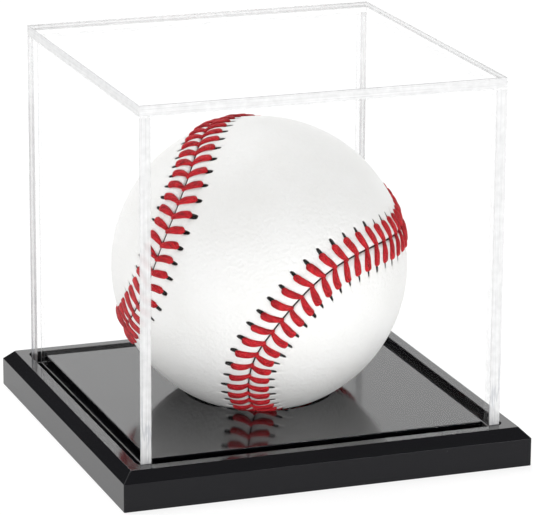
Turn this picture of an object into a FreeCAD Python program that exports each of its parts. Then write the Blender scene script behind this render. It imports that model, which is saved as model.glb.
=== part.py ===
"""Display case for one baseball: a black acrylic base, a clear acrylic cover and the ball.

Millimetres, +Z up. The origin is the centre of the base's underside. -Y is the front and -X the left side.
Each sub-part is one function that returns a shape, and each is written to parts/NODE.step.
"""
import FreeCAD
import Part
import math
import os

Vector = FreeCAD.Vector

# ---- Driving dimensions: the ball ----
ball_radius = 37.0            # outside of the leather
leather_thickness = 1.3
finish_winding_thickness = 0.5
third_winding_thickness = 2.1
second_winding_thickness = 1.8
red_rubber_radius = 17.5      # outside of the red rubber layer
red_rubber_thickness = 4.0
black_rubber_thickness = 3.2
gasket_height = 0.8
stitch_count = 108            # double stitches round the whole seam
thread_radius = 0.85
stitch_floor_gap = 0.15       # left between the thread and the winding under the leather
stitch_inner = 0.15           # from the seam line to a stitch's inner end
stitch_reach = 4.9            # from the seam line to a stitch's outer end
stitch_sweep = 1.6            # how far the outer end trails the inner end along the seam
seam_nose = 0.448             # radians left between a pole of the seam and its tight bend
seam_swing = 0.378            # radians by which the seam swings to each side of its mean
ball_roll = 64.2              # degrees about X, then about Y, then about Z
ball_pitch = 60.1
ball_yaw = 111.1

# ---- Driving dimensions: the case ----
sheet = 2.75                  # clear acrylic sheet
ball_side_gap = 5.9           # from the ball to the walls
ball_headroom = 14.34         # from the ball to the underside of the top
ball_sink = 5.09              # how far the ball dips into its seat
ball_seat_clearance = 0.1
seat_floor_clearance = 0.4
groove_depth = 2.8
groove_gap_outside = 0.8      # between the cover and the groove's outer wall
groove_gap_inside = 0.45      # between the cover and the groove's inner wall
cover_rest_clearance = 0.02
rim_width = 2.75              # flat strip between the groove and the bevel
bevel = 2.5                   # 45 degrees
base_height = 9.5

# ---- Sizes that follow ----
winding_outer = ball_radius - leather_thickness
third_outer = winding_outer - finish_winding_thickness
second_outer = third_outer - third_winding_thickness
first_outer = second_outer - second_winding_thickness
black_rubber_radius = red_rubber_radius - red_rubber_thickness
cork_radius = black_rubber_radius - black_rubber_thickness

thread_level = winding_outer + stitch_floor_gap + thread_radius
stitched_radius = thread_level + thread_radius
rest_radius = stitched_radius + ball_seat_clearance
ball_rise = rest_radius - ball_sink
seat_radius = math.sqrt(rest_radius ** 2 - ball_rise ** 2)
seat_depth = ball_sink + seat_floor_clearance
ball_centre = Vector(0, 0, base_height + ball_rise)

inner_half = stitched_radius + ball_side_gap
outer_half = inner_half + sheet
groove_outer_half = outer_half + groove_gap_outside
groove_inner_half = inner_half - groove_gap_inside
groove_corner_radius = (groove_outer_half - groove_inner_half) / 2
base_half = groove_outer_half + rim_width + bevel

wall_bottom = base_height - groove_depth + cover_rest_clearance
wall_top = ball_centre.z + stitched_radius + ball_headroom

# ---- Fineness of the drawing ----
seam_arcs = 16                # the seam curve is drawn as this many arcs
arc_steps = 12                # steps in each arc
measuring_steps = 40          # steps per stitch when the seam's length is measured
angle_step = 0.001            # radians, for the seam's direction at a point
cut_margin = 1.0              # how far a cutting surface runs past the skin it cuts
tiny = 1e-6


# ---- Helpers ----
def block(x_low, x_high, y_low, y_high, z_low, z_high):
    corner = Vector(x_low, y_low, z_low)
    return Part.makeBox(x_high - x_low, y_high - y_low, z_high - z_low, corner)


def square_prism(half, z_low, z_high, corner_radius=0):
    prism = block(-half, half, -half, half, z_low, z_high)
    if corner_radius == 0:
        return prism
    upright = [edge for edge in prism.Edges if abs(edge.BoundBox.ZLength - (z_high - z_low)) < tiny]
    return prism.makeFillet(corner_radius, upright)


def hollow_ball(outer, inner):
    return Part.makeSphere(outer, ball_centre).cut(Part.makeSphere(inner, ball_centre))


# ---- Base ----
def base_plate():
    slab = square_prism(base_half, 0, base_height)
    top_edges = [edge for edge in slab.Edges if edge.BoundBox.ZMin > base_height - tiny]
    slab = slab.makeChamfer(bevel, top_edges)
    groove_floor = base_height - groove_depth
    groove = square_prism(groove_outer_half, groove_floor, base_height, groove_corner_radius)
    groove = groove.cut(square_prism(groove_inner_half, groove_floor, base_height))
    seat_floor = base_height - seat_depth
    seat = Part.makeCylinder(seat_radius, seat_depth, Vector(0, 0, seat_floor))
    return slab.cut(groove).cut(seat)


# ---- Cover: two full-depth side walls, two walls between them, and a top that lies on all four ----
def cover_left():
    return block(-outer_half, -inner_half, -outer_half, outer_half, wall_bottom, wall_top)


def cover_right():
    return block(inner_half, outer_half, -outer_half, outer_half, wall_bottom, wall_top)


def cover_front():
    return block(-inner_half, inner_half, -outer_half, -inner_half, wall_bottom, wall_top)


def cover_back():
    return block(-inner_half, inner_half, inner_half, outer_half, wall_bottom, wall_top)


def cover_top():
    return square_prism(outer_half, wall_top, wall_top + sheet)


# ---- Ball: core and windings ----
def gasket_slab():
    half = ball_radius
    low = ball_centre.z - gasket_height / 2
    return block(-half, half, -half, half, low, low + gasket_height)


def black_rubber_halves():
    shell = hollow_ball(black_rubber_radius, cork_radius).cut(gasket_slab())
    lower, upper = sorted(shell.Solids, key=lambda solid: solid.CenterOfMass.z)
    return lower, upper


def rubber_gasket():
    return hollow_ball(black_rubber_radius, cork_radius).common(gasket_slab())


# ---- Ball: seam, leather and stitches ----
def seam_direction(angle):
    """Unit vector from the ball's centre to the seam, for an angle from 0 to 4 pi."""
    polar = math.pi / 2 - (math.pi / 2 - seam_nose) * math.cos(angle)
    around = angle / 2 + seam_swing * math.sin(2 * angle)
    x = math.sin(polar) * math.cos(around)
    y = math.sin(polar) * math.sin(around)
    return Vector(x, y, math.cos(polar))


def turned_ball(shape):
    """Turn a shape made about the origin the way the ball lies, and lift it to the ball's centre."""
    turn = FreeCAD.Rotation(ball_yaw, ball_pitch, ball_roll)
    shape.Placement = FreeCAD.Placement(ball_centre, turn).multiply(shape.Placement)
    return shape


def seam_arc(index, radius):
    """One of the seam_arcs equal shares of the seam, at a distance from the ball's centre."""
    first = 4 * math.pi * index / seam_arcs
    step = 4 * math.pi / seam_arcs / arc_steps
    curve = Part.BSplineCurve()
    curve.interpolate(Points=[seam_direction(first + i * step) * radius for i in range(arc_steps + 1)])
    return curve.toShape()


def leather_panels():
    shell = Part.makeSphere(ball_radius).cut(Part.makeSphere(winding_outer))
    inside = winding_outer - cut_margin
    outside = ball_radius + cut_margin
    cut_faces = [Part.makeRuledSurface(seam_arc(i, inside), seam_arc(i, outside)) for i in range(seam_arcs)]
    pieces = shell.generalFuse(cut_faces)[0].Solids
    first, second = sorted(pieces, key=lambda solid: solid.CenterOfMass.z)
    return turned_ball(first), turned_ball(second)


def stitch_angles():
    """Angles that part the seam into stitch_count equal lengths."""
    steps = stitch_count * measuring_steps
    angles = [4 * math.pi * i / steps for i in range(steps + 1)]
    points = [seam_direction(a) * ball_radius for a in angles]
    lengths = [0.0]
    for before, after in zip(points, points[1:]):
        lengths.append(lengths[-1] + before.distanceToPoint(after))
    pitch = lengths[-1] / stitch_count
    chosen = []
    for angle, length in zip(angles, lengths):
        if len(chosen) < stitch_count and length >= (len(chosen) + 0.5) * pitch:
            chosen.append(angle)
    return chosen


def thread_piece(length):
    """A length of thread along +X from the origin, round at both ends."""
    near = Vector(thread_radius, 0, 0)
    far = Vector(length - thread_radius, 0, 0)
    along = Vector(1, 0, 0)
    shaft = Part.makeCylinder(thread_radius, (far - near).Length, near, along)
    ends = [Part.makeSphere(thread_radius, near, along), Part.makeSphere(thread_radius, far, along)]
    return shaft.fuse(ends).removeSplitter()


def ball_stitches():
    span = stitch_reach - stitch_inner
    piece = thread_piece(math.hypot(span, stitch_sweep))
    solids = []
    for angle in stitch_angles():
        outward = seam_direction(angle)
        along = seam_direction(angle + angle_step) - seam_direction(angle - angle_step)
        along.normalize()
        sideways = outward.cross(along)
        for side in (-1, 1):
            inner = outward * thread_level + sideways * (side * stitch_inner)
            outer = outward * thread_level + sideways * (side * stitch_reach) + along * stitch_sweep
            inner.normalize()
            outer.normalize()
            inner = inner * thread_level
            outer = outer * thread_level
            solid = piece.copy()
            solid.Placement = FreeCAD.Placement(inner, FreeCAD.Rotation(Vector(1, 0, 0), outer - inner))
            solids.append(solid)
    return turned_ball(Part.makeCompound(solids))


def write_parts():
    os.makedirs("parts", exist_ok=True)
    black_lower, black_upper = black_rubber_halves()
    leather_a, leather_b = leather_panels()
    parts = {
        "base_plate": base_plate(),
        "cover_top": cover_top(),
        "cover_front": cover_front(),
        "cover_back": cover_back(),
        "cover_left": cover_left(),
        "cover_right": cover_right(),
        "ball_cork_core": Part.makeSphere(cork_radius, ball_centre),
        "ball_black_rubber_lower": black_lower,
        "ball_black_rubber_upper": black_upper,
        "ball_rubber_gasket": rubber_gasket(),
        "ball_red_rubber_layer": hollow_ball(red_rubber_radius, black_rubber_radius),
        "ball_winding_first": hollow_ball(first_outer, red_rubber_radius),
        "ball_winding_second": hollow_ball(second_outer, first_outer),
        "ball_winding_third": hollow_ball(third_outer, second_outer),
        "ball_winding_finish": hollow_ball(winding_outer, third_outer),
        "ball_leather_a": leather_a,
        "ball_leather_b": leather_b,
        "ball_stitches": ball_stitches(),
    }
    for name, shape in parts.items():
        shape.exportStep("parts/" + name + ".step")
        box = shape.BoundBox
        size = (round(box.XLength, 2), round(box.YLength, 2), round(box.ZLength, 2))
        print(name, len(shape.Solids), "solids,", round(shape.Volume, 1), "mm3,", size)


write_parts()
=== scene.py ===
"""Looks for the baseball display case. Everything is in metres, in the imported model's own frame.

The base, the five cover sheets, the two leather panels and the stitches are built again in finer detail,
inside the CAD nodes' own boxes. The ball's inner layers keep their CAD shape and get materials.
"""
import math

import bpy
import numpy as np
from mathutils import Euler, Matrix, Vector
from mathutils.geometry import delaunay_2d_cdt
from mathutils.kdtree import KDTree


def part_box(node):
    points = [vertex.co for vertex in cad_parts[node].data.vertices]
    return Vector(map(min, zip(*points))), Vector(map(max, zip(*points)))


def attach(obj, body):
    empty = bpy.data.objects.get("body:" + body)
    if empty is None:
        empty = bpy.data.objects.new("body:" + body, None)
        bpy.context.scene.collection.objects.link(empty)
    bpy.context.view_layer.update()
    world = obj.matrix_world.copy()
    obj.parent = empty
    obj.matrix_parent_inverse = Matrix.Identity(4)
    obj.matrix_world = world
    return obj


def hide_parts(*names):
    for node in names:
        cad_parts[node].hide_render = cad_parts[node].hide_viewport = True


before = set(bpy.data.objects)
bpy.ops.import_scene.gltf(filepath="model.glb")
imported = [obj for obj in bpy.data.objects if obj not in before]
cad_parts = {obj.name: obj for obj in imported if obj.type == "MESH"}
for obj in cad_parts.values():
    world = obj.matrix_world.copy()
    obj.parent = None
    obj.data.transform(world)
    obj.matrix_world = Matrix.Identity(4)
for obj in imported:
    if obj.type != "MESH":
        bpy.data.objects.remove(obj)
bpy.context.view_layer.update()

MM = 0.001
rng = np.random.default_rng(7)


# ---- Places and sizes read from the frame ----
def middle(node):
    """The centre and the size of a node's box."""
    low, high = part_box(node)
    return (low + high) / 2, high - low


base_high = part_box("base_plate")[1]
base_half = base_high.x
base_top = base_high.z
outer_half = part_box("cover_right")[1].x
inner_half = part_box("cover_right")[0].x
sheet = outer_half - inner_half
wall_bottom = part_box("cover_right")[0].z
wall_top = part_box("cover_right")[1].z
ball_centre, winding_size = middle("ball_winding_finish")
winding_radius = winding_size.z / 2

# ---- Sizes that the part's source also names ----
leather = 1.3 * MM
ball_radius = winding_radius + leather
thread_proud = 0.55 * MM
ball_seat_clearance = 0.1 * MM
seat_floor_clearance = 0.4 * MM
groove_gap_outside = 0.8 * MM
groove_gap_inside = 0.45 * MM
groove_corner = 2.0 * MM
cover_rest_clearance = 0.02 * MM
rim_width = 2.75 * MM
stitch_count = 108
stitch_inner = 0.15 * MM
stitch_reach = 4.9 * MM
stitch_sweep = 1.6 * MM
seam_nose = 0.448
seam_swing = 0.378
ball_turn = Euler((math.radians(64.2), math.radians(60.1), math.radians(111.1))).to_matrix()

seat_rest = ball_radius + thread_proud + ball_seat_clearance
ball_rise = ball_centre.z - base_top
seat_radius = math.sqrt(seat_rest ** 2 - ball_rise ** 2)
seat_floor = base_top - (seat_rest - ball_rise + seat_floor_clearance)
groove_floor = wall_bottom - cover_rest_clearance
groove_outer = outer_half + groove_gap_outside
groove_inner = inner_half - groove_gap_inside
bevel = base_half - groove_outer - rim_width


# ---- Making a piece from points and faces ----
def new_piece(name, points, faces, body, materials, face_material=None, stands_for=()):
    mesh = bpy.data.meshes.new(name)
    mesh.from_pydata([tuple(p) for p in points], [], faces)
    for material in materials:
        mesh.materials.append(material)
    if face_material is not None:
        mesh.polygons.foreach_set("material_index", face_material)
    mesh.polygons.foreach_set("use_smooth", [True] * len(mesh.polygons))
    mesh.update()
    piece = bpy.data.objects.new(name, mesh)
    bpy.context.collection.objects.link(piece)
    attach(piece, body)
    if stands_for:
        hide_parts(*stands_for)
    return piece


def ring_faces(rows, count):
    """Quads between rings of count points that follow each other."""
    faces = []
    for first in range(0, (rows - 1) * count, count):
        for i in range(count):
            j = (i + 1) % count
            faces.append((first + i, first + j, first + count + j, first + count + i))
    return faces


def normal_of(face, points):
    """The first corner of a face, and its normal."""
    corners = points[list(face)]
    return corners[0], np.cross(corners[1] - corners[0], corners[2] - corners[0])


def reverse(faces):
    return [tuple(reversed(face)) for face in faces]


def add_attribute(piece, name, kind, values):
    layer = piece.data.attributes.new(name, kind, "POINT")
    field = "value" if kind == "FLOAT" else "vector"
    layer.data.foreach_set(field, np.asarray(values, np.float32).ravel())


def flat_normals(piece):
    """Keeps broad faces flat beside small rounded edges."""
    weighted = piece.modifiers.new("weighted", "WEIGHTED_NORMAL")
    weighted.mode = "FACE_AREA"
    weighted.weight = 100
    weighted.keep_sharp = False


# ---- Materials ----
class Nodes:
    """The node tree of a material or a world, with short calls to add and link nodes."""

    def __init__(self, owner, output="ShaderNodeOutputMaterial"):
        self.owner = owner
        owner.use_nodes = True
        self.tree = owner.node_tree
        self.tree.nodes.clear()
        self.output = self.add(output)

    def add(self, kind, inputs=(), **settings):
        node = self.tree.nodes.new(kind)
        for key, value in settings.items():
            setattr(node, key, value)
        for key, value in dict(inputs).items():
            if isinstance(value, bpy.types.NodeSocket):
                self.tree.links.new(value, node.inputs[key])
            else:
                node.inputs[key].default_value = value
        return node

    def stretch(self, vector, scale):
        return self.add("ShaderNodeMapping", {"Vector": vector, "Scale": scale}).outputs["Vector"]

    def place(self, scale=(1, 1, 1)):
        """Object coordinates in millimetres, stretched by scale."""
        where = self.add("ShaderNodeTexCoord").outputs["Object"]
        return self.stretch(where, [1000 * s for s in scale])

    def noise(self, scale, vector=None, detail=3.0, roughness=0.5):
        """A noise from 0 to 1 whose features are about 1 / scale millimetres wide."""
        inputs = {"Vector": vector or self.place(), "Scale": scale, "Detail": detail, "Roughness": roughness}
        return self.add("ShaderNodeTexNoise", inputs).outputs["Fac"]

    def cells(self, scale, vector=None, feature="F1"):
        """The distance to the middle or the edge of cells about 1 / scale millimetres wide."""
        inputs = {"Vector": vector or self.place(), "Scale": scale}
        return self.add("ShaderNodeTexVoronoi", inputs, feature=feature).outputs["Distance"]

    def level(self, value, low, high, to_low=0.0, to_high=1.0, smooth=False):
        """value taken from the range low to high to the range to_low to to_high, and held at its ends."""
        kind = "SMOOTHSTEP" if smooth else "LINEAR"
        inputs = {"Value": value, "From Min": low, "From Max": high, "To Min": to_low, "To Max": to_high}
        return self.add("ShaderNodeMapRange", inputs, interpolation_type=kind).outputs["Result"]

    def math(self, operation, first, second=0.0):
        node = self.add("ShaderNodeMath", {0: first, 1: second}, operation=operation)
        return node.outputs[0]

    def between(self, factor, first, second):
        """A number between first and second."""
        return self.add("ShaderNodeMix", {0: factor, 2: first, 3: second}, data_type="FLOAT").outputs[0]

    def mix(self, factor, first, second):
        """A colour between first and second."""
        node = self.add("ShaderNodeMix", data_type="RGBA")
        for index, value in ((0, factor), (6, first), (7, second)):
            if isinstance(value, bpy.types.NodeSocket):
                self.tree.links.new(value, node.inputs[index])
            else:
                node.inputs[index].default_value = value if index == 0 or len(value) == 4 else (*value, 1)
        return node.outputs[2]

    def bump(self, height, distance, strength=1.0, normal=None):
        """distance is the height in metres for a value of 1."""
        inputs = {"Height": height, "Distance": distance, "Strength": strength}
        if normal is not None:
            inputs["Normal"] = normal
        return self.add("ShaderNodeBump", inputs).outputs["Normal"]

    def attribute(self, name, output="Fac"):
        return self.add("ShaderNodeAttribute", attribute_name=name).outputs[output]

    def finish(self, shader):
        self.tree.links.new(shader, self.output.inputs["Surface"])
        return self.owner

    def see_through(self, share, solid, tint):
        """Shows solid for a share of the light and lets the rest through with a tint."""
        through = self.add("ShaderNodeBsdfTransparent", {"Color": tint})
        mixed = self.add("ShaderNodeMixShader", {0: share, 1: through.outputs[0], 2: solid})
        return self.finish(mixed.outputs[0])

    def principled(self, **inputs):
        """Inputs by name, with underscores for spaces."""
        named = {key.replace("_", " "): value for key, value in inputs.items()}
        return self.add("ShaderNodeBsdfPrincipled", named).outputs["BSDF"]


def new_material(name):
    return Nodes(bpy.data.materials.new(name))


acrylic_ior = 1.49
top_specular = 0.75      # the base's top and bevel
side_specular = 0.26     # and its side faces
face_gloss = 0.08        # how much of a bare sheet's reflection shows
edge_fade = (1.45, 1.8)  # a rear edge fades out between these depths under the outer face, in millimetres
edge_core = 0.75         # and is faintest at this depth


def black_acrylic(name, specular):
    """Cast black acrylic, polished: hairline scratches, a little dust and a barely uneven surface."""
    n = new_material(name)
    dust = n.level(n.cells(0.32), 0.0, 0.05, 1.0, 0.0)
    dust = n.math("MULTIPLY", dust, n.level(n.noise(0.12), 0.5, 0.62))
    scratch = n.level(n.cells(0.22, n.place((0.08, 1.3, 1)), "DISTANCE_TO_EDGE"), 0.0, 0.02, 1.0, 0.0)
    scratch = n.math("MULTIPLY", scratch, n.level(n.noise(0.07, detail=1.0), 0.55, 0.7))
    smear = n.noise(0.05, n.place((1, 0.35, 1)), detail=4.0)
    rough = n.level(smear, 0.35, 0.75, 0.09, 0.13)
    rough = n.math("ADD", rough, n.math("MULTIPLY", scratch, 0.06))
    rough = n.math("ADD", rough, n.math("MULTIPLY", dust, 0.3))
    colour = n.mix(n.math("MULTIPLY", dust, 0.3), (0.0036, 0.0036, 0.0052), (0.18, 0.18, 0.18))
    wave = n.bump(n.noise(0.03, detail=1.0), 0.00003, 0.6)
    shader = n.principled(
        Base_Color=colour, Roughness=rough, IOR=acrylic_ior, Specular_IOR_Level=specular, Normal=wave
    )
    return n.finish(shader)


def clear_face():
    """A broad polished face of clear sheet. One side of the sheet reflects for both, and nothing is bent."""
    n = new_material("clear_acrylic_face")
    facing = n.add("ShaderNodeNewGeometry").outputs["Backfacing"]
    fresnel = n.add("ShaderNodeFresnel", {"IOR": acrylic_ior}).outputs["Fac"]
    both = n.math("DIVIDE", n.math("MULTIPLY", fresnel, 2.0), n.math("ADD", fresnel, 1.0))
    share = n.math("MULTIPLY", n.math("MULTIPLY", both, face_gloss), n.math("SUBTRACT", 1.0, facing))
    smear = n.level(n.noise(0.06, n.place((1, 1, 0.4)), detail=4.0), 0.4, 0.75, 0.0, 0.03)
    glossy = n.add("ShaderNodeBsdfGlossy", {"Color": (1, 1, 1, 1), "Roughness": smear})
    return n.see_through(share, glossy.outputs[0], (0.996, 0.997, 0.997, 1))


def clear_edge():
    """A sawn and scraped edge of the sheet: it scatters light, with fine lines along its length.

    Met from inside the sheet, it is solid only in its outer part, as a bent view would leave it.
    """
    n = new_material("clear_acrylic_edge")
    run = n.attribute("edge_run", "Vector")
    parts = n.add("ShaderNodeSeparateXYZ", {"Vector": run}).outputs
    fine = n.noise(1.0, n.stretch(run, (3.2, 0.03, 0.0)), detail=4.0, roughness=0.6)
    patches = n.noise(1.0, n.stretch(run, (0.9, 0.10, 0.0)), detail=3.0)
    height = n.add("ShaderNodeSeparateXYZ", {"Vector": n.place()}).outputs["Z"]
    low_down = n.level(height, 14.0, 34.0, 1.0, 0.0, smooth=True)
    # darker bluish patches, only on the lower part of the edges
    dark_low_patches = n.math("MULTIPLY", n.level(patches, 0.53, 0.60, smooth=True), low_down)
    facing = n.add("ShaderNodeNewGeometry").outputs["Backfacing"]
    outer_part = n.level(parts["X"], *edge_fade, 1.0, 0.0, smooth=True)
    from_core = n.math("ABSOLUTE", n.math("SUBTRACT", parts["X"], edge_core))
    outer_part = n.math("MULTIPLY", outer_part, n.level(from_core, 0.1, 0.35, 0.45, 0.9, smooth=True))
    rear = n.math("MULTIPLY", outer_part, parts["Z"])
    front = n.level(fine, 0.35, 0.7, 0.80, 0.95)
    share = n.between(facing, front, rear)
    mottled = n.noise(0.5, n.place(), detail=4.0)
    tone = n.math("ADD", n.math("MULTIPLY", fine, 0.45), n.math("MULTIPLY", mottled, 0.55))
    colour = n.mix(n.level(tone, 0.36, 0.64), (0.62, 0.622, 0.625), (0.76, 0.762, 0.765))
    colour = n.mix(n.math("MULTIPLY", dark_low_patches, 0.5), colour, (0.32, 0.34, 0.39))
    normal = n.bump(fine, 0.00003, 0.6)
    frost = n.principled(Base_Color=colour, Roughness=0.3, IOR=acrylic_ior, Normal=normal)
    return n.see_through(share, frost, (0.99, 0.99, 0.99, 1))


def cement():
    """The cemented end of a sheet: nearly clear, with a few bubbles and hazy patches."""
    n = new_material("acrylic_cement")
    bubbles = n.level(n.cells(1.3), 0.0, 0.14, 1.0, 0.0, smooth=True)
    haze = n.level(n.noise(0.3, detail=3.0), 0.4, 0.7, 0.05, 0.22)
    share = n.math("MAXIMUM", n.math("MULTIPLY", bubbles, 0.6), haze)
    frost = n.principled(Base_Color=(0.8, 0.805, 0.81, 1), Roughness=0.25, IOR=acrylic_ior)
    return n.see_through(share, frost, (0.98, 0.98, 0.98, 1))


def white_leather():
    """Alum-tanned leather: fine grain and pores, slightly cloudy, with painted shade, near black, in the
    needle holes and along the seam.
    """
    n = new_material("white_leather_grain")
    pebble = n.cells(1.2, feature="SMOOTH_F1")
    grain = n.noise(2.6, detail=6.0, roughness=0.62)
    pores = n.level(n.cells(0.9), 0.0, 0.11, 1.0, 0.0)
    cloud = n.noise(0.07, detail=4.0)
    colour = n.mix(n.level(cloud, 0.35, 0.7), (0.87, 0.865, 0.85), (0.905, 0.902, 0.893))
    colour = n.mix(n.level(grain, 0.3, 0.45, 0.10, 0.0), colour, (0.72, 0.71, 0.68))
    colour = n.mix(n.math("MULTIPLY", pores, 0.10), colour, (0.55, 0.53, 0.5))
    # painted shade, near black, in the needle holes and along the seam
    painted_shade = n.level(n.attribute("painted_shade"), 0.15, 0.4, 0.0, 1.0, smooth=True)
    colour = n.mix(painted_shade, colour, (0.008, 0.007, 0.007))
    rough = n.level(grain, 0.3, 0.7, 0.42, 0.56)
    coarse = n.bump(pebble, 0.0002, 0.7)
    fine = n.bump(grain, 0.00014, 0.7, coarse)
    normal = n.bump(pores, -0.00004, 0.6, fine)
    shader = n.principled(
        Base_Color=colour, Roughness=rough, IOR=1.45, Specular_IOR_Level=0.4, Normal=normal
    )
    return n.finish(shader)


def red_thread():
    """Waxed cotton thread: fibres run along it with a slight twist, with painted shade between them."""
    n = new_material("red_thread_waxed")
    strand = n.attribute("strand", "Vector")
    fibre = n.noise(2.0, n.stretch(strand, (0.30, 0.95, 1.0)), detail=5.0, roughness=0.6)
    hair = n.noise(2.0, n.stretch(strand, (0.5, 6.0, 1.0)), detail=3.0)
    fibre = n.math("ADD", n.math("MULTIPLY", fibre, 0.62), n.math("MULTIPLY", hair, 0.38))
    blotch = n.noise(0.6, detail=3.0)
    # painted shade: the colour runs from dark red between the fibres to light red on them, following the
    # bump's height
    colour = n.mix(n.level(fibre, 0.38, 0.60), (0.20, 0.004, 0.008), (0.63, 0.017, 0.026))
    colour = n.mix(n.level(blotch, 0.55, 0.8, 0.0, 0.25), colour, (0.85, 0.05, 0.05))
    normal = n.bump(fibre, 0.0002, 0.8)
    rough = n.level(fibre, 0.3, 0.7, 0.7, 0.5)
    shader = n.principled(
        Base_Color=colour, Roughness=rough, IOR=1.5, Specular_IOR_Level=0.14, Normal=normal
    )
    return n.finish(shader)


def yarn(name, dark, light, pitch):
    """Wound yarn: crossing turns, each pitch millimetres wide, with fuzzy fibres, and painted shade in the
    hollows between the turns.
    """
    n = new_material(name)
    ways = []
    for slant in ((1, 0.3, 1), (0.2, 1, 0.7)):
        inputs = {"Vector": n.place(slant), "Scale": 0.3 / pitch, "Distortion": 2.0}
        ways.append(n.add("ShaderNodeTexWave", inputs).outputs["Fac"])
    turns = n.math("MAXIMUM", *ways)
    fuzz = n.noise(3.0, detail=6.0, roughness=0.7)
    height = n.math("ADD", turns, n.math("MULTIPLY", fuzz, 0.4))
    # painted shade: the colour runs from dark in the hollows to light on the turns' tops, following the
    # bump's height
    colour = n.mix(n.level(height, 0.4, 1.3), dark, light)
    normal = n.bump(height, 0.0003, 0.8)
    return n.finish(n.principled(Base_Color=colour, Roughness=0.9, Sheen_Weight=0.3, Normal=normal))


def rubber(name, dark, light):
    """Moulded rubber with bloom and fine pitting."""
    n = new_material(name)
    bloom = n.noise(0.25, detail=5.0)
    pits = n.noise(4.0, detail=3.0)
    colour = n.mix(n.level(bloom, 0.35, 0.7), dark, light)
    normal = n.bump(pits, 0.00005, 0.6)
    rough = n.level(bloom, 0.3, 0.7, 0.55, 0.75)
    return n.finish(n.principled(Base_Color=colour, Roughness=rough, Normal=normal))


def cork():
    """Pressed cork: packed grains with dark lines between them."""
    n = new_material("cork_pressed")
    grains = n.cells(0.8, feature="DISTANCE_TO_EDGE")
    tone = n.noise(0.9, detail=5.0)
    colour = n.mix(n.level(tone, 0.35, 0.7), (0.42, 0.24, 0.11), (0.66, 0.45, 0.26))
    colour = n.mix(n.level(grains, 0.0, 0.08, 0.8, 0.0), colour, (0.13, 0.07, 0.035))
    normal = n.bump(grains, 0.0002, 0.6)
    return n.finish(n.principled(Base_Color=colour, Roughness=0.85, Normal=normal))


# ---- Base ----
side_steps = 32      # points along each straight side of a ring
corner_steps = 8     # and round each of its corners
round_steps = 4      # faces across a rounded edge
least_corner = 0.02 * MM
foot_edge = 0.6 * MM      # the underside's ring lies this far inside the base's sides
flat_margin = 0.8 * MM    # a ring this far inside the groove keeps the base's top flat
seat_margin = 1.2 * MM    # and one this far outside the seat


def square_ring(half, corner):
    """Points of a rounded square, anticlockwise, the same number whatever its size."""
    ring = []
    for quarter in range(4):
        turn = quarter * math.pi / 2
        c, s = math.cos(turn), math.sin(turn)
        flat = half - corner
        local = [(half, -flat + 2 * flat * i / side_steps) for i in range(side_steps)]
        for i in range(corner_steps):
            a = math.pi / 2 * i / corner_steps
            local.append((flat + corner * math.cos(a), flat + corner * math.sin(a)))
        ring += [(x * c - y * s, x * s + y * c) for x, y in local]
    return ring


def round_ring(radius):
    """Points of a circle that line up with those of a square ring."""
    ring = []
    for x, y in square_ring(1, 0.001):
        a = math.atan2(y, x)
        ring.append((radius * math.cos(a), radius * math.sin(a)))
    return ring


def rounded_profile(stations):
    """Stations are (half width, height, corner radius, edge radius): each edge is rounded by its radius."""
    out = []
    for i, (half, height, corner, edge) in enumerate(stations):
        here = Vector((half, height))
        if edge == 0 or i == 0 or i == len(stations) - 1:
            out.append((half, height, corner))
            continue
        before = (Vector(stations[i - 1][:2]) - here).normalized()
        after = (Vector(stations[i + 1][:2]) - here).normalized()
        opening = before.angle(after)
        back = edge / math.tan(opening / 2)
        start = here + before * back
        end = here + after * back
        for k in range(round_steps + 1):
            f = k / round_steps
            point = start * (1 - f) ** 2 + here * 2 * f * (1 - f) + end * f ** 2
            out.append((point.x, point.y, max(corner + point.x - half, least_corner)))
    return out


def base_piece(materials):
    crisp = 0.18 * MM     # edge radius of sawn and bevelled edges
    lip = 0.3 * MM        # edge radius at the groove's floor
    square = 0.35 * MM    # corner radius of the base's outline
    inner = 0.25 * MM     # corner radius of the groove's inner wall
    stations = [
        (base_half - foot_edge, 0.0, square, 0),
        (base_half, 0.0, square, crisp),
        (base_half, base_top - bevel, square, crisp),
        (base_half - bevel, base_top, square, crisp),
        (groove_outer, base_top, groove_corner, crisp),
        (groove_outer, groove_floor, groove_corner, lip),
        (groove_inner, groove_floor, inner, lip),
        (groove_inner, base_top, inner, crisp),
        (groove_inner - flat_margin, base_top, inner, 0),
    ]
    rings = [
        [(x, y, z) for x, y in square_ring(half, corner)]
        for half, z, corner in rounded_profile(stations)
    ]
    seat = [
        (seat_radius + seat_margin, base_top, 0, 0),
        (seat_radius, base_top, 0, 0.12 * MM),
        (seat_radius, seat_floor, 0, 0.5 * MM),
        (seat_radius * 0.5, seat_floor, 0, 0),
    ]
    rings += [[(x, y, z) for x, y in round_ring(radius)] for radius, z, _ in rounded_profile(seat)]
    count = len(rings[0])
    points = [p for ring in rings for p in ring]
    faces = ring_faces(len(rings), count)
    faces.append(tuple(reversed(range(count))))
    last = (len(rings) - 1) * count
    faces.append(tuple(range(last, last + count)))
    # the side faces: those below the bevel, but not the underside
    heights = [[points[v][2] for v in face] for face in faces]
    on_side = [int(max(z) < base_top - 0.9 * bevel and max(z) > min(z)) for z in heights]
    piece = new_piece("base_plate_polished", points, faces, "base", materials, on_side,
                      stands_for=["base_plate"])
    flat_normals(piece)


# ---- Cover ----
film = 0.03 * MM           # the cement between two sheets
sheet_chamfer = 0.16 * MM
face_slot, edge_slot, cement_slot = range(3)
chamfer_depth = 0.2        # edge_run of a chamfer: millimetres in from the outer face
chamfer_shows = 0.6        # and how solid it is from behind


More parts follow.
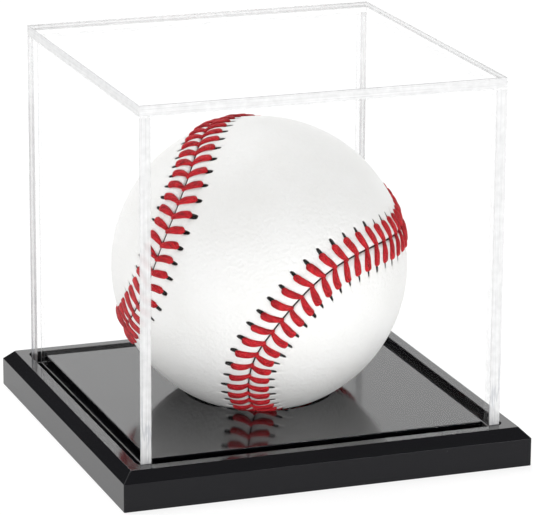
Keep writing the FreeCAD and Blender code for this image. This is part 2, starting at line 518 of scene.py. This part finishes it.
def plate(name, low, high, thin_axis, outer_sign, materials, stands_for, cemented_axis=None):
    """A sheet with broad faces across thin_axis, four sawn edges and a small chamfer all round.

    Its edge_run is the distance in from its outer face, the place along the edge, and how much the edge shows
    from behind. Ends on cemented_axis are joined to other sheets.
    """
    low, high = Vector(low), Vector(high)
    outer = (high if outer_sign > 0 else low)[thin_axis]
    joint_sign = -1 if thin_axis == 2 else 1
    points, faces, slots, runs = [], [], [], []

    def corner(signs, inset):
        p = Vector([high[a] if signs[a] > 0 else low[a] for a in range(3)])
        for a in inset:
            p[a] -= signs[a] * sheet_chamfer
        return p

    def add_chamfer(corners, joined, along):
        run = [(chamfer_depth, p[along] / MM, chamfer_shows) for p in corners]
        add_face(corners, cement_slot if joined else edge_slot, run)

    def add_face(corners, slot, run):
        start = len(points)
        points.extend(tuple(p) for p in corners)
        runs.extend(run)
        middle_point = sum(corners, Vector()) / len(corners)
        normal = (corners[1] - corners[0]).cross(corners[2] - corners[0])
        order = list(range(start, start + len(corners)))
        if normal.dot(middle_point - (low + high) / 2) < 0:
            order.reverse()
        faces.append(order)
        slots.append(slot)

    cycle = [(-1, -1), (1, -1), (1, 1), (-1, 1)]
    for axis in range(3):
        others = [a for a in range(3) if a != axis]
        for sign in (-1, 1):
            corners = []
            for first, second in cycle:
                signs = [0, 0, 0]
                signs[axis], signs[others[0]], signs[others[1]] = sign, first, second
                corners.append(corner(signs, others))
            if axis == thin_axis:
                add_face(corners, face_slot, [(0, 0, 0)] * 4)
                continue
            along = [a for a in others if a != thin_axis][0]
            seed = 370 * axis + 150 * sign    # so that no two edges have the same lines
            shows = 1.0 if axis != 2 else 0.0
            joined = axis == cemented_axis or (axis == 2 and sign > 0)
            run = [(abs(p[thin_axis] - outer) / MM, p[along] / MM + seed, shows) for p in corners]
            add_face(corners, cement_slot if joined else edge_slot, run)
    for axis in range(3):
        one, two = [a for a in range(3) if a != axis]
        for first, second in cycle:
            corners = []
            for end, inset in ((-1, one), (1, one), (1, two), (-1, two)):
                signs = [0, 0, 0]
                signs[axis], signs[one], signs[two] = end, first, second
                corners.append(corner(signs, [inset, axis]))
            joined = cemented_axis == 0 if axis == 2 else signs[2] == joint_sign
            add_chamfer(corners, joined, axis)
    for sx in (-1, 1):
        for sy in (-1, 1):
            for sz in (-1, 1):
                signs = (sx, sy, sz)
                corners = [corner(signs, inset) for inset in ([0, 1], [1, 2], [2, 0])]
                add_chamfer(corners, sz == joint_sign, 0)
    piece = new_piece(name, points, faces, "cover", materials, slots, stands_for)
    piece.data.polygons.foreach_set("use_smooth", [False] * len(faces))
    add_attribute(piece, "edge_run", "FLOAT_VECTOR", runs)


def cover_pieces(materials):
    for side, sign in (("left", -1), ("right", 1)):
        x = sorted((sign * inner_half, sign * outer_half))
        low = (x[0], -outer_half, wall_bottom)
        high = (x[1], outer_half, wall_top - film)
        plate("cover_sheet_" + side, low, high, 0, sign, materials, ["cover_" + side])
    for side, sign in (("front", -1), ("back", 1)):
        y = sorted((sign * inner_half, sign * outer_half))
        low = (-inner_half + film, y[0], wall_bottom)
        high = (inner_half - film, y[1], wall_top - film)
        plate("cover_sheet_" + side, low, high, 1, sign, materials, ["cover_" + side], cemented_axis=0)
    low = (-outer_half, -outer_half, wall_top)
    high = (outer_half, outer_half, wall_top + sheet)
    plate("cover_sheet_top", low, high, 2, 1, materials, ["cover_top"])


# ---- Ball: the seam ----
def seam_direction(angle):
    """Unit vectors from the ball's centre to the seam, for angles from 0 to 4 pi, in the ball's own frame."""
    polar = math.pi / 2 - (math.pi / 2 - seam_nose) * np.cos(angle)
    around = angle / 2 + seam_swing * np.sin(2 * angle)
    return np.stack([np.sin(polar) * np.cos(around), np.sin(polar) * np.sin(around), np.cos(polar)], -1)


seam_table_size = 20001
seam_table_angles = np.linspace(0, 4 * math.pi, seam_table_size)
seam_table = seam_direction(seam_table_angles) * ball_radius
seam_lengths = np.concatenate([[0], np.cumsum(np.linalg.norm(np.diff(seam_table, axis=0), axis=1))])
seam_length = seam_lengths[-1]
pitch = seam_length / stitch_count


def unit(vectors):
    return vectors / np.linalg.norm(vectors, axis=-1, keepdims=True)


def seam_frame(angle):
    """Directions at a place on the seam: out from the ball's centre, and to the seam's side."""
    step = 1e-4
    outward = seam_direction(angle)
    forward = unit(seam_direction(angle + step) - seam_direction(angle - step))
    return outward, np.cross(outward, forward)


def on_ball(along, sideways, radius):
    """Points at a distance along the seam, a distance to its side and a distance from the centre."""
    angle = np.interp(np.mod(along, seam_length), seam_lengths, seam_table_angles)
    outward, side = seam_frame(angle)
    swing = (sideways / ball_radius)[..., None]
    return (outward * np.cos(swing) + side * np.sin(swing)) * np.asarray(radius)[..., None]


# ---- Ball: what each stitch does, alike for the thread and the leather under it ----
stitch_stagger = 0.22 * MM      # the two legs of a stitch start this far before and after its middle
stitch_belly = 0.38 * MM        # each leg bows by this
hole_reach = 5.5 * MM           # from the seam to the middle of a needle hole
leg_jitter = {
    side: {
        "shift": rng.normal(0, 0.07 * MM, stitch_count),
        "reach": rng.normal(0, 0.12 * MM, stitch_count),
        "belly": rng.normal(0, 0.08 * MM, stitch_count),
        "width": rng.normal(1, 0.05, stitch_count),
        "hole": rng.normal(1, 0.12, stitch_count),
    }
    for side in (-1, 1)
}


def leg_offset(share, side, index):
    """How far along the seam a leg lies from its stitch's middle, at a share of its length."""
    jitter = leg_jitter[side]
    bow = (stitch_belly + jitter["belly"][index]) * 4 * share * (1 - share)
    return stitch_sweep * share + bow + jitter["shift"][index] + side * stitch_stagger * (1 - share)


lip_depth = 0.95 * MM           # the leather turns down into the seam
lip_width = 0.24 * MM
swell_height = 0.26 * MM        # and swells beside it
swell_place = 2.1 * MM
swell_width = 1.9 * MM
puff_height = 0.13 * MM         # between two legs of thread it puffs up, and under them it is pressed down
puff_start = 1.2 * MM
puff_end = 3.0 * MM
puff_fade = 1.5 * MM
press_depth = 0.05 * MM
hole_length = 1.05 * MM
hole_width = 0.66 * MM
hole_depth = 0.65 * MM
dimple_depth = 0.16 * MM        # round each needle hole it is drawn in
dimple_length = 1.9 * MM
dimple_width = 1.1 * MM
seam_line = 0.16 * MM           # width of the line of painted shade along the seam


def welt(distance):
    """Height of the leather over the ball's radius: it turns down into the seam and swells beside it."""
    lip = lip_depth * np.exp(-distance / lip_width)
    swell = swell_height * np.exp(-(((distance - swell_place) / swell_width) ** 2))
    return swell - lip


def leather_height(along, distance, side):
    """Height of the leather over the ball's radius, and how much painted shade blackens it in the needle
    holes and the seam.
    """
    leg_length = stitch_reach - stitch_inner
    index = np.floor(np.mod(along, seam_length) / pitch).astype(int) % stitch_count
    local = np.mod(along, seam_length) - (index + 0.5) * pitch
    level = np.clip((distance - stitch_inner) / leg_length, 0, 1)
    path = stitch_sweep * level + stitch_belly * 4 * level * (1 - level)
    phase = 2 * math.pi * (local - path) / pitch
    past_puff = np.maximum(distance - puff_end, 0) / puff_fade
    window = np.clip(distance / puff_start, 0, 1) * np.exp(-(past_puff ** 2))
    puff = puff_height * (0.5 - 0.5 * np.cos(phase)) * window - press_depth * window
    jitter = leg_jitter[side]
    reach = hole_reach + jitter["reach"][index]
    lean = stitch_sweep / leg_length - 4 * stitch_belly / leg_length
    end = stitch_sweep + jitter["shift"][index]
    out = (distance - reach) / (hole_length * jitter["hole"][index])
    across = (local - end - (distance - stitch_reach) * lean) / hole_width
    across = across * (1 + 0.2 * np.clip(out, -1, 1))
    hole = np.exp(-(np.abs(out) ** 3 + np.abs(across) ** 3) ** 1.4)
    drawn_in = ((distance - reach) / dimple_length) ** 2 + ((local - end) / dimple_width) ** 2
    dimple = dimple_depth * np.exp(-drawn_in)
    height = welt(distance) + puff - dimple - hole_depth * hole
    # painted shade: near black in the needle holes, and in a thin line where the leather turns down into the
    # seam
    painted_shade = np.maximum(hole, np.exp(-((distance / seam_line) ** 2)))
    return height, painted_shade


def clear_of_base(points):
    """Presses what would reach into the base's seat rim back towards the ball's centre."""
    gap = 0.04 * MM
    radius = np.linalg.norm(points, axis=-1)
    down = np.clip(-points[..., 2] / radius, 1e-3, 1)
    sine = np.sqrt(np.clip(1 - down ** 2, 1e-9, 1))
    allowed = np.maximum((seat_radius - gap) / sine, (ball_rise - gap) / down)
    return points * np.minimum(1, allowed / radius)[..., None]


def as_lies(points):
    """From the ball's own frame to where it lies in the model's."""
    turned = points @ np.array(ball_turn).T
    return clear_of_base(turned) + np.array(ball_centre)


# ---- Ball: leather ----
strip_steps = 16                 # samples per stitch along the seam
strip_reach = 7.4 * MM           # the finely meshed strip on each side of the seam
strip_rows = 27
cap_spacing = 1.0 * MM
lining_spacing = 2.4 * MM
panel_gap = 0.05 * MM            # from the seam's middle to each panel's edge
lining_gap = 0.06 * MM           # from the winding to the leather's inside
turned_in = 0.85 * MM            # how far the panel's edge ends below the ball's surface


def scattered(spacing):
    """Points spread evenly over the ball, that far apart."""
    row_share = 0.866        # how far apart rows of such points lie, as a share of spacing
    count = int(4 * math.pi * ball_radius ** 2 / (row_share * spacing ** 2))
    i = np.arange(count) + 0.5
    polar = np.arccos(1 - 2 * i / count)
    around = math.pi * (1 + 5 ** 0.5) * i
    return np.stack([np.sin(polar) * np.cos(around), np.sin(polar) * np.sin(around), np.cos(polar)], -1)


def inside_panel(directions, side, margin):
    """Those directions that lie on one side of the seam and at least margin from it."""
    samples = 2000           # points along the seam that the directions are compared with
    along = np.arange(samples) * seam_length / samples
    line = on_ball(along, np.zeros(samples), np.full(samples, 1.0))
    beside = on_ball(along, np.full(samples, side * ball_radius * 0.01), np.full(samples, 1.0)) - line
    tree = KDTree(samples)
    for k, p in enumerate(line):
        tree.insert(p, k)
    tree.balance()
    kept = []
    for d in directions:
        _, k, distance = tree.find(d)
        if distance * ball_radius > margin and np.dot(d - line[k], beside[k]) > 0:
            kept.append(d)
    return np.array(kept)


def fill_panel(ring, first, side, spacing, margin, added_first):
    """Points and triangles over the middle of a panel.

    Its edge is ring, whose points are numbered from first. The added points are numbered from added_first.
    """
    added = inside_panel(scattered(spacing), side, margin + 0.55 * spacing)
    to_side = seam_frame(np.array(0.0))[1]
    pole = 1.0 if to_side[2] * side > 0 else -1.0
    together = np.concatenate([unit(ring), added])
    flat = together[:, :2] / (1 + pole * together[:, 2:3])
    count = len(ring)
    edges = [(i, (i + 1) % count) for i in range(count)]
    result = delaunay_2d_cdt([Vector(p) for p in flat], edges, [], 1, 1e-9)
    back = [origin[0] if origin else -1 for origin in result[3]]
    faces = [[back[v] for v in face] for face in result[2]]
    numbers = [*range(first, first + count), *range(added_first, added_first + len(added))]
    return added, [tuple(numbers[v] for v in f) for f in faces if -1 not in f and len(set(f)) == 3]


def facing_out(faces, points, sign):
    """Turns each face so that it looks away from the ball's centre, or towards it for a sign of -1."""
    out = []
    for face in faces:
        corner, normal = normal_of(face, points)
        out.append(face if np.dot(normal, corner) * sign > 0 else tuple(reversed(face)))
    return out


def leather_piece(name, side, material, stands_for):
    samples = stitch_count * strip_steps
    along = np.arange(samples) * seam_length / samples
    spread = np.linspace(0, 1, strip_rows)
    offsets = panel_gap + (strip_reach - panel_gap) * (0.35 * spread + 0.65 * spread ** 1.6)
    points, painted_shade = [], []
    lining = winding_radius + lining_gap
    edge_offset = np.full(samples, side * panel_gap)
    for depth in (0.0, 0.5):
        radius = lining + (ball_radius - turned_in - lining) * depth
        points.append(on_ball(along, edge_offset, np.full(samples, radius)))
        # the turned-in edge down in the seam is all painted shade
        painted_shade.append(np.ones(samples))
    for offset in offsets:
        distance = np.full(samples, offset)
        height, black = leather_height(along, distance, side)
        points.append(on_ball(along, side * distance, ball_radius + height))
        painted_shade.append(black)
    rows = len(points)
    strip = ring_faces(rows, samples)
    first = (rows - 1) * samples
    count = rows * samples
    middle_points, cap = fill_panel(points[-1], first, side, cap_spacing, strip_reach, count)
    count += len(middle_points)
    inside_points, inside = fill_panel(points[0], 0, side, lining_spacing, panel_gap, count)
    points = np.concatenate([*points, middle_points * ball_radius, inside_points * lining])
    black = np.concatenate([*painted_shade, np.zeros(len(middle_points)), np.zeros(len(inside_points))])
    corner, normal = normal_of(strip[len(strip) // 2], points)
    if np.dot(normal, corner) <= 0:
        strip = reverse(strip)
    faces = strip + facing_out(cap, points, 1) + facing_out(inside, points, -1)
    piece = new_piece(name, as_lies(points), faces, "ball", [material],
                      stands_for=stands_for)
    add_attribute(piece, "painted_shade", "FLOAT", black)


# ---- Ball: thread ----
thread_sections = 30
thread_sides = 16
thread_width = 1.92 * MM
thread_height = 1.15 * MM
plies = 3
thread_lift = 0.18 * MM      # the thread's middle over the leather
root_dip = 0.4 * MM          # it dips at the seam
tip_dip = 0.6 * MM           # and at its needle hole
tip_past = 0.1 * MM          # how far past the stitch's reach it ends
thread_start = {1: -0.12 * MM, -1: -0.05 * MM}    # where it starts, by side: a little across the seam
bed_from = 0.9 * MM          # nearer the seam than this it does not follow the leather down
bed_depth = 0.05 * MM

# along a leg, as shares of its length
root_run = 0.06
tip_run = 0.05
full_from = 0.6              # it is at its full width and height from here
blunt_from = 0.86            # and its end starts to round off here

# the thread's section
root_width = 0.46            # its width and height at the seam, as shares of the full ones
root_height = 0.62
end_size = 0.03              # least value of the rounding at its end, before the root is taken
leg_twist = 2.2              # radians from end to end
ply_relief = 0.06
flatness = 0.85              # an exponent: below 1 makes the section squarer


def leg_mesh(index, side):
    """One leg of a stitch: flattened, twisted thread from the seam to its needle hole.

    Returns its points, and for each the place along and round the thread that the material reads.
    """
    even = np.linspace(0, 1, thread_sections)
    share = 0.45 * even + 0.55 * (0.5 - 0.5 * np.cos(math.pi * even))
    jitter = leg_jitter[side]
    reach = stitch_reach + tip_past + jitter["reach"][index]
    start = thread_start[side]
    distance = start + (reach - start) * share
    along = (index + 0.5) * pitch + leg_offset(share, side, index)
    lift = thread_lift - root_dip * np.exp(-share / root_run) - tip_dip * np.exp(-(1 - share) / tip_run)
    bed = welt(np.maximum(distance, bed_from)) - bed_depth
    centre = on_ball(along, side * distance, ball_radius + bed + lift)
    tangent = unit(np.gradient(centre, axis=0))
    across = unit(np.cross(tangent, unit(centre)))
    upward = np.cross(across, tangent)
    growing = np.sin(math.pi / 2 * np.clip(share / full_from, 0, 1))
    past_blunt = np.clip((share - blunt_from) / (1 - blunt_from), 0, 1)
    blunt = np.sqrt(np.clip(1 - past_blunt ** 2, end_size, 1))
    width = thread_width / 2 * jitter["width"][index] * (root_width + (1 - root_width) * growing) * blunt
    height = thread_height / 2 * (root_height + (1 - root_height) * growing) * blunt
    turn = np.arange(thread_sides) * 2 * math.pi / thread_sides
    twist = turn[None, :] - side * leg_twist * share[:, None] + index * 1.3
    lobes = 1 + ply_relief * np.cos(plies * twist)
    flat_cos = np.sign(np.cos(turn)) * np.abs(np.cos(turn)) ** flatness
    x = width[:, None] * flat_cos[None, :] * lobes
    y = height[:, None] * np.sin(turn)[None, :] * lobes
    ring = centre[:, None, :] + across[:, None, :] * x[..., None] + upward[:, None, :] * y[..., None]
    strand = np.stack([
        np.broadcast_to(share[:, None] * 5.2, x.shape) + index * 11.7,
        twist * 0.8,
        np.full(x.shape, index * 3.3 + side),
    ], -1)
    return ring.reshape(-1, 3), strand.reshape(-1, 3)


def stitch_piece(name, side, material, stands_for):
    points, strands, faces = [], [], []
    leg_faces = ring_faces(thread_sections, thread_sides)
    last = (thread_sections - 1) * thread_sides
    leg_faces.append(tuple(reversed(range(thread_sides))))
    leg_faces.append(tuple(range(last, last + thread_sides)))
    for index in range(stitch_count):
        ring, strand = leg_mesh(index, side)
        start = index * len(ring)
        points.append(ring)
        strands.append(strand)
        faces += [tuple(start + v for v in face) for face in leg_faces]
    points = np.concatenate(points)
    corner, normal = normal_of(faces[5], points)
    hub = points[:thread_sides].mean(0)
    if np.dot(normal, corner - hub) < 0:
        faces = reverse(faces)
    piece = new_piece(name, as_lies(points), faces, "ball", [material], stands_for=stands_for)
    add_attribute(piece, "strand", "FLOAT_VECTOR", np.concatenate(strands))


def ball_pieces():
    hide = white_leather()
    thread = red_thread()
    leather_piece("ball_leather_panel_a", 1, hide, ["ball_leather_a"])
    leather_piece("ball_leather_panel_b", -1, hide, ["ball_leather_b"])
    stitch_piece("ball_stitch_legs_a", 1, thread, ["ball_stitches"])
    stitch_piece("ball_stitch_legs_b", -1, thread, [])


# ---- Inner layers of the ball keep their CAD shape ----
def dress(node, material):
    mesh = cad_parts[node].data
    mesh.materials.clear()
    mesh.materials.append(material)


def inner_layers():
    grey = yarn("wool_yarn_grey", (0.12, 0.125, 0.14), (0.42, 0.43, 0.46), 1.6)
    dress("ball_winding_first", grey)
    dress("ball_winding_second", yarn("wool_yarn_white", (0.42, 0.4, 0.36), (0.85, 0.83, 0.78), 1.4))
    dress("ball_winding_third", grey)
    dress("ball_winding_finish", yarn("cotton_yarn", (0.35, 0.34, 0.31), (0.8, 0.79, 0.75), 0.7))
    reds = (0.3, 0.02, 0.018), (0.48, 0.06, 0.05)
    dress("ball_red_rubber_layer", rubber("red_rubber_moulded", *reds))
    dress("ball_rubber_gasket", rubber("red_rubber_gasket", *reds))
    black = rubber("black_rubber_moulded", (0.012, 0.012, 0.013), (0.04, 0.04, 0.042))
    dress("ball_black_rubber_lower", black)
    dress("ball_black_rubber_upper", black)
    dress("ball_cork_core", cork())


# ---- Studio ----
floor_reach = 8.0
floor_drop = 0.00002      # keeps the floor clear of the base's underside
floor_glow = 0.88         # light the floor gives off itself, so that it stays white
# heights of a look where a wall gives way to the ceiling, and its strength below and above them
back_wall = (0.55, 0.80, 1.4, 0.22)
front_wall = (0.2, 0.5, 0.45, 0.16)
card_way = (-0.276, 0.904, 0.328)    # from the middle towards the dark card
lamps = (
    # name, place, width and height, watts
    ("softbox_over_back", (-0.05, 0.45, 0.95), (0.9, 0.6), 8.0),
    ("fill_left", (-0.95, -0.75, 0.08), (0.9, 0.12), 3.4),
    ("fill_right", (0.75, -1.0, 0.08), (0.9, 0.12), 6.0),
    ("fill_front", (-0.35, -1.1, 0.08), (0.9, 0.12), 3.0),
)


def studio():
    floor_mesh = bpy.data.meshes.new("floor")
    corners = [(x * floor_reach, y * floor_reach, 0) for x, y in ((-1, -1), (1, -1), (1, 1), (-1, 1))]
    floor_mesh.from_pydata(corners, [], [(0, 1, 2, 3)])
    floor = bpy.data.objects.new("floor", floor_mesh)
    bpy.context.collection.objects.link(floor)
    n = new_material("floor_white")
    shader = n.principled(Base_Color=(0.2, 0.2, 0.2, 1), Roughness=0.9, Specular_IOR_Level=0.0,
                          Emission_Color=(1, 1, 1, 1), Emission_Strength=floor_glow)
    floor_mesh.materials.append(n.finish(shader))
    floor.location.z = -floor_drop
    studio_walls()
    for name, place, size, watts in lamps:
        lamp(name, place, size, watts)


def studio_walls():
    """White walls round the set, brighter at the back, a dark ceiling, and a dark card at the back left."""
    world = bpy.data.worlds.new("studio")
    bpy.context.scene.world = world
    n = Nodes(world, "ShaderNodeOutputWorld")
    where = n.add("ShaderNodeTexCoord").outputs["Generated"]
    parts = n.add("ShaderNodeSeparateXYZ", {"Vector": where}).outputs
    back = n.level(parts["Z"], *back_wall, smooth=True)
    front = n.level(parts["Z"], *front_wall, smooth=True)
    walls = n.between(n.level(parts["Y"], -0.1, 0.45, smooth=True), front, back)
    inputs = {0: where, 1: card_way}
    towards = n.add("ShaderNodeVectorMath", inputs, operation="DOT_PRODUCT").outputs["Value"]
    card = n.level(towards, 0.965, 0.985, 1.0, 0.05, smooth=True)
    strength = n.math("MULTIPLY", walls, card)
    n.finish(n.add("ShaderNodeBackground", {"Strength": strength}).outputs[0])


def lamp(name, place, size, watts):
    light = bpy.data.lights.new(name, "AREA")
    light.shape = "RECTANGLE"
    light.size, light.size_y = size
    light.energy = watts
    holder = bpy.data.objects.new(name, light)
    bpy.context.collection.objects.link(holder)
    holder.location = place
    aim = ball_centre - Vector(place)
    holder.rotation_euler = aim.to_track_quat("-Z", "Y").to_euler()


camera_azimuth = math.radians(-19.917)
camera_elevation = math.radians(15.986)
camera_roll = math.radians(0.321)
camera_distance = 0.896014
camera_lens = 242.1
aim_beside = 1.829 * MM       # how far the aim lies to the right of the middle, across the view
aim_height = 34.163 * MM      # and above the base


def camera():
    azimuth, elevation = camera_azimuth, camera_elevation
    target = Vector((aim_beside * math.cos(azimuth), aim_beside * math.sin(azimuth), base_top + aim_height))
    back = Vector((math.sin(azimuth) * math.cos(elevation), -math.cos(azimuth) * math.cos(elevation),
                   math.sin(elevation)))
    data = bpy.data.cameras.new("camera")
    data.sensor_width = 36
    data.lens = camera_lens
    data.clip_start = 0.01
    data.clip_end = 50
    eye = bpy.data.objects.new("camera", data)
    bpy.context.collection.objects.link(eye)
    look = (-back).to_track_quat("-Z", "Y").to_matrix().to_4x4()
    roll = Matrix.Rotation(camera_roll, 4, "Z")
    eye.matrix_world = Matrix.Translation(target + back * camera_distance) @ look @ roll
    bpy.context.scene.camera = eye


base_piece([
    black_acrylic("black_acrylic_polished", top_specular),
    black_acrylic("black_acrylic_edge", side_specular),
])
cover_pieces([clear_face(), clear_edge(), cement()])
ball_pieces()
inner_layers()
camera()
studio()
scene = bpy.context.scene
scene.view_settings.view_transform = "Standard"
scene.cycles.transparent_max_bounces = 32    # a look through the case crosses many clear faces
